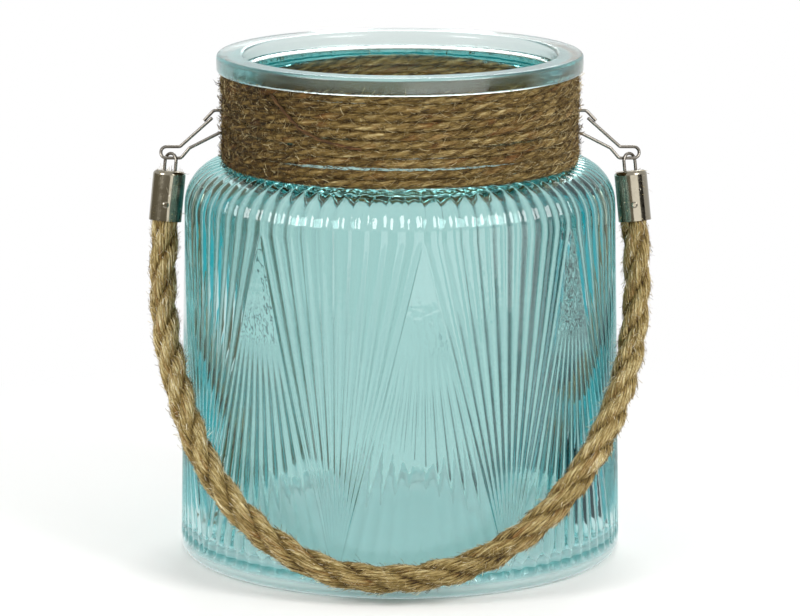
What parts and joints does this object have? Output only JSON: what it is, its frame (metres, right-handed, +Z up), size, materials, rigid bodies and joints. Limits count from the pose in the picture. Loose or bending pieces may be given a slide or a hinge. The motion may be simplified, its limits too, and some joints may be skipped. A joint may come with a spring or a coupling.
{
  "type": "mason jar lantern",
  "caption": "Open ribbed glass jar lantern with a twine-wound neck and a twisted rope handle that hangs from wire clips at its sides.",
  "frame": {"origin": "centre of the jar's base, on the surface that it stands on", "axes": "+Z up along the jar's axis, -Y towards the side where the handle hangs, +X to the right clip"},
  "size_m": [0.1692, 0.1604, 0.17],
  "materials": {
    "glass": "clear aqua pressed glass",
    "wire": "bright drawn wire",
    "nickel": "polished nickel plate",
    "jute": "natural jute, hairy"
  },
  "bodies": {
    "jar": {"glass_jar": "glass", "back_wire": "wire", "front_wire": "wire", "neck_twine": "jute"},
    "handle": {"left_ferrule": "nickel", "left_eye": "wire", "left_rivet": "nickel", "right_ferrule": "nickel", "right_eye": "wire", "right_rivet": "nickel", "rope_handle": "jute"}
  },
  "joints": [
    {"name": "handle_swing", "type": "hinge", "parent": "jar", "child": "handle", "pos_m": [0, 0, 0.134], "axis": [-1, 0, 0], "range_deg": [0, 147]}
  ]
}
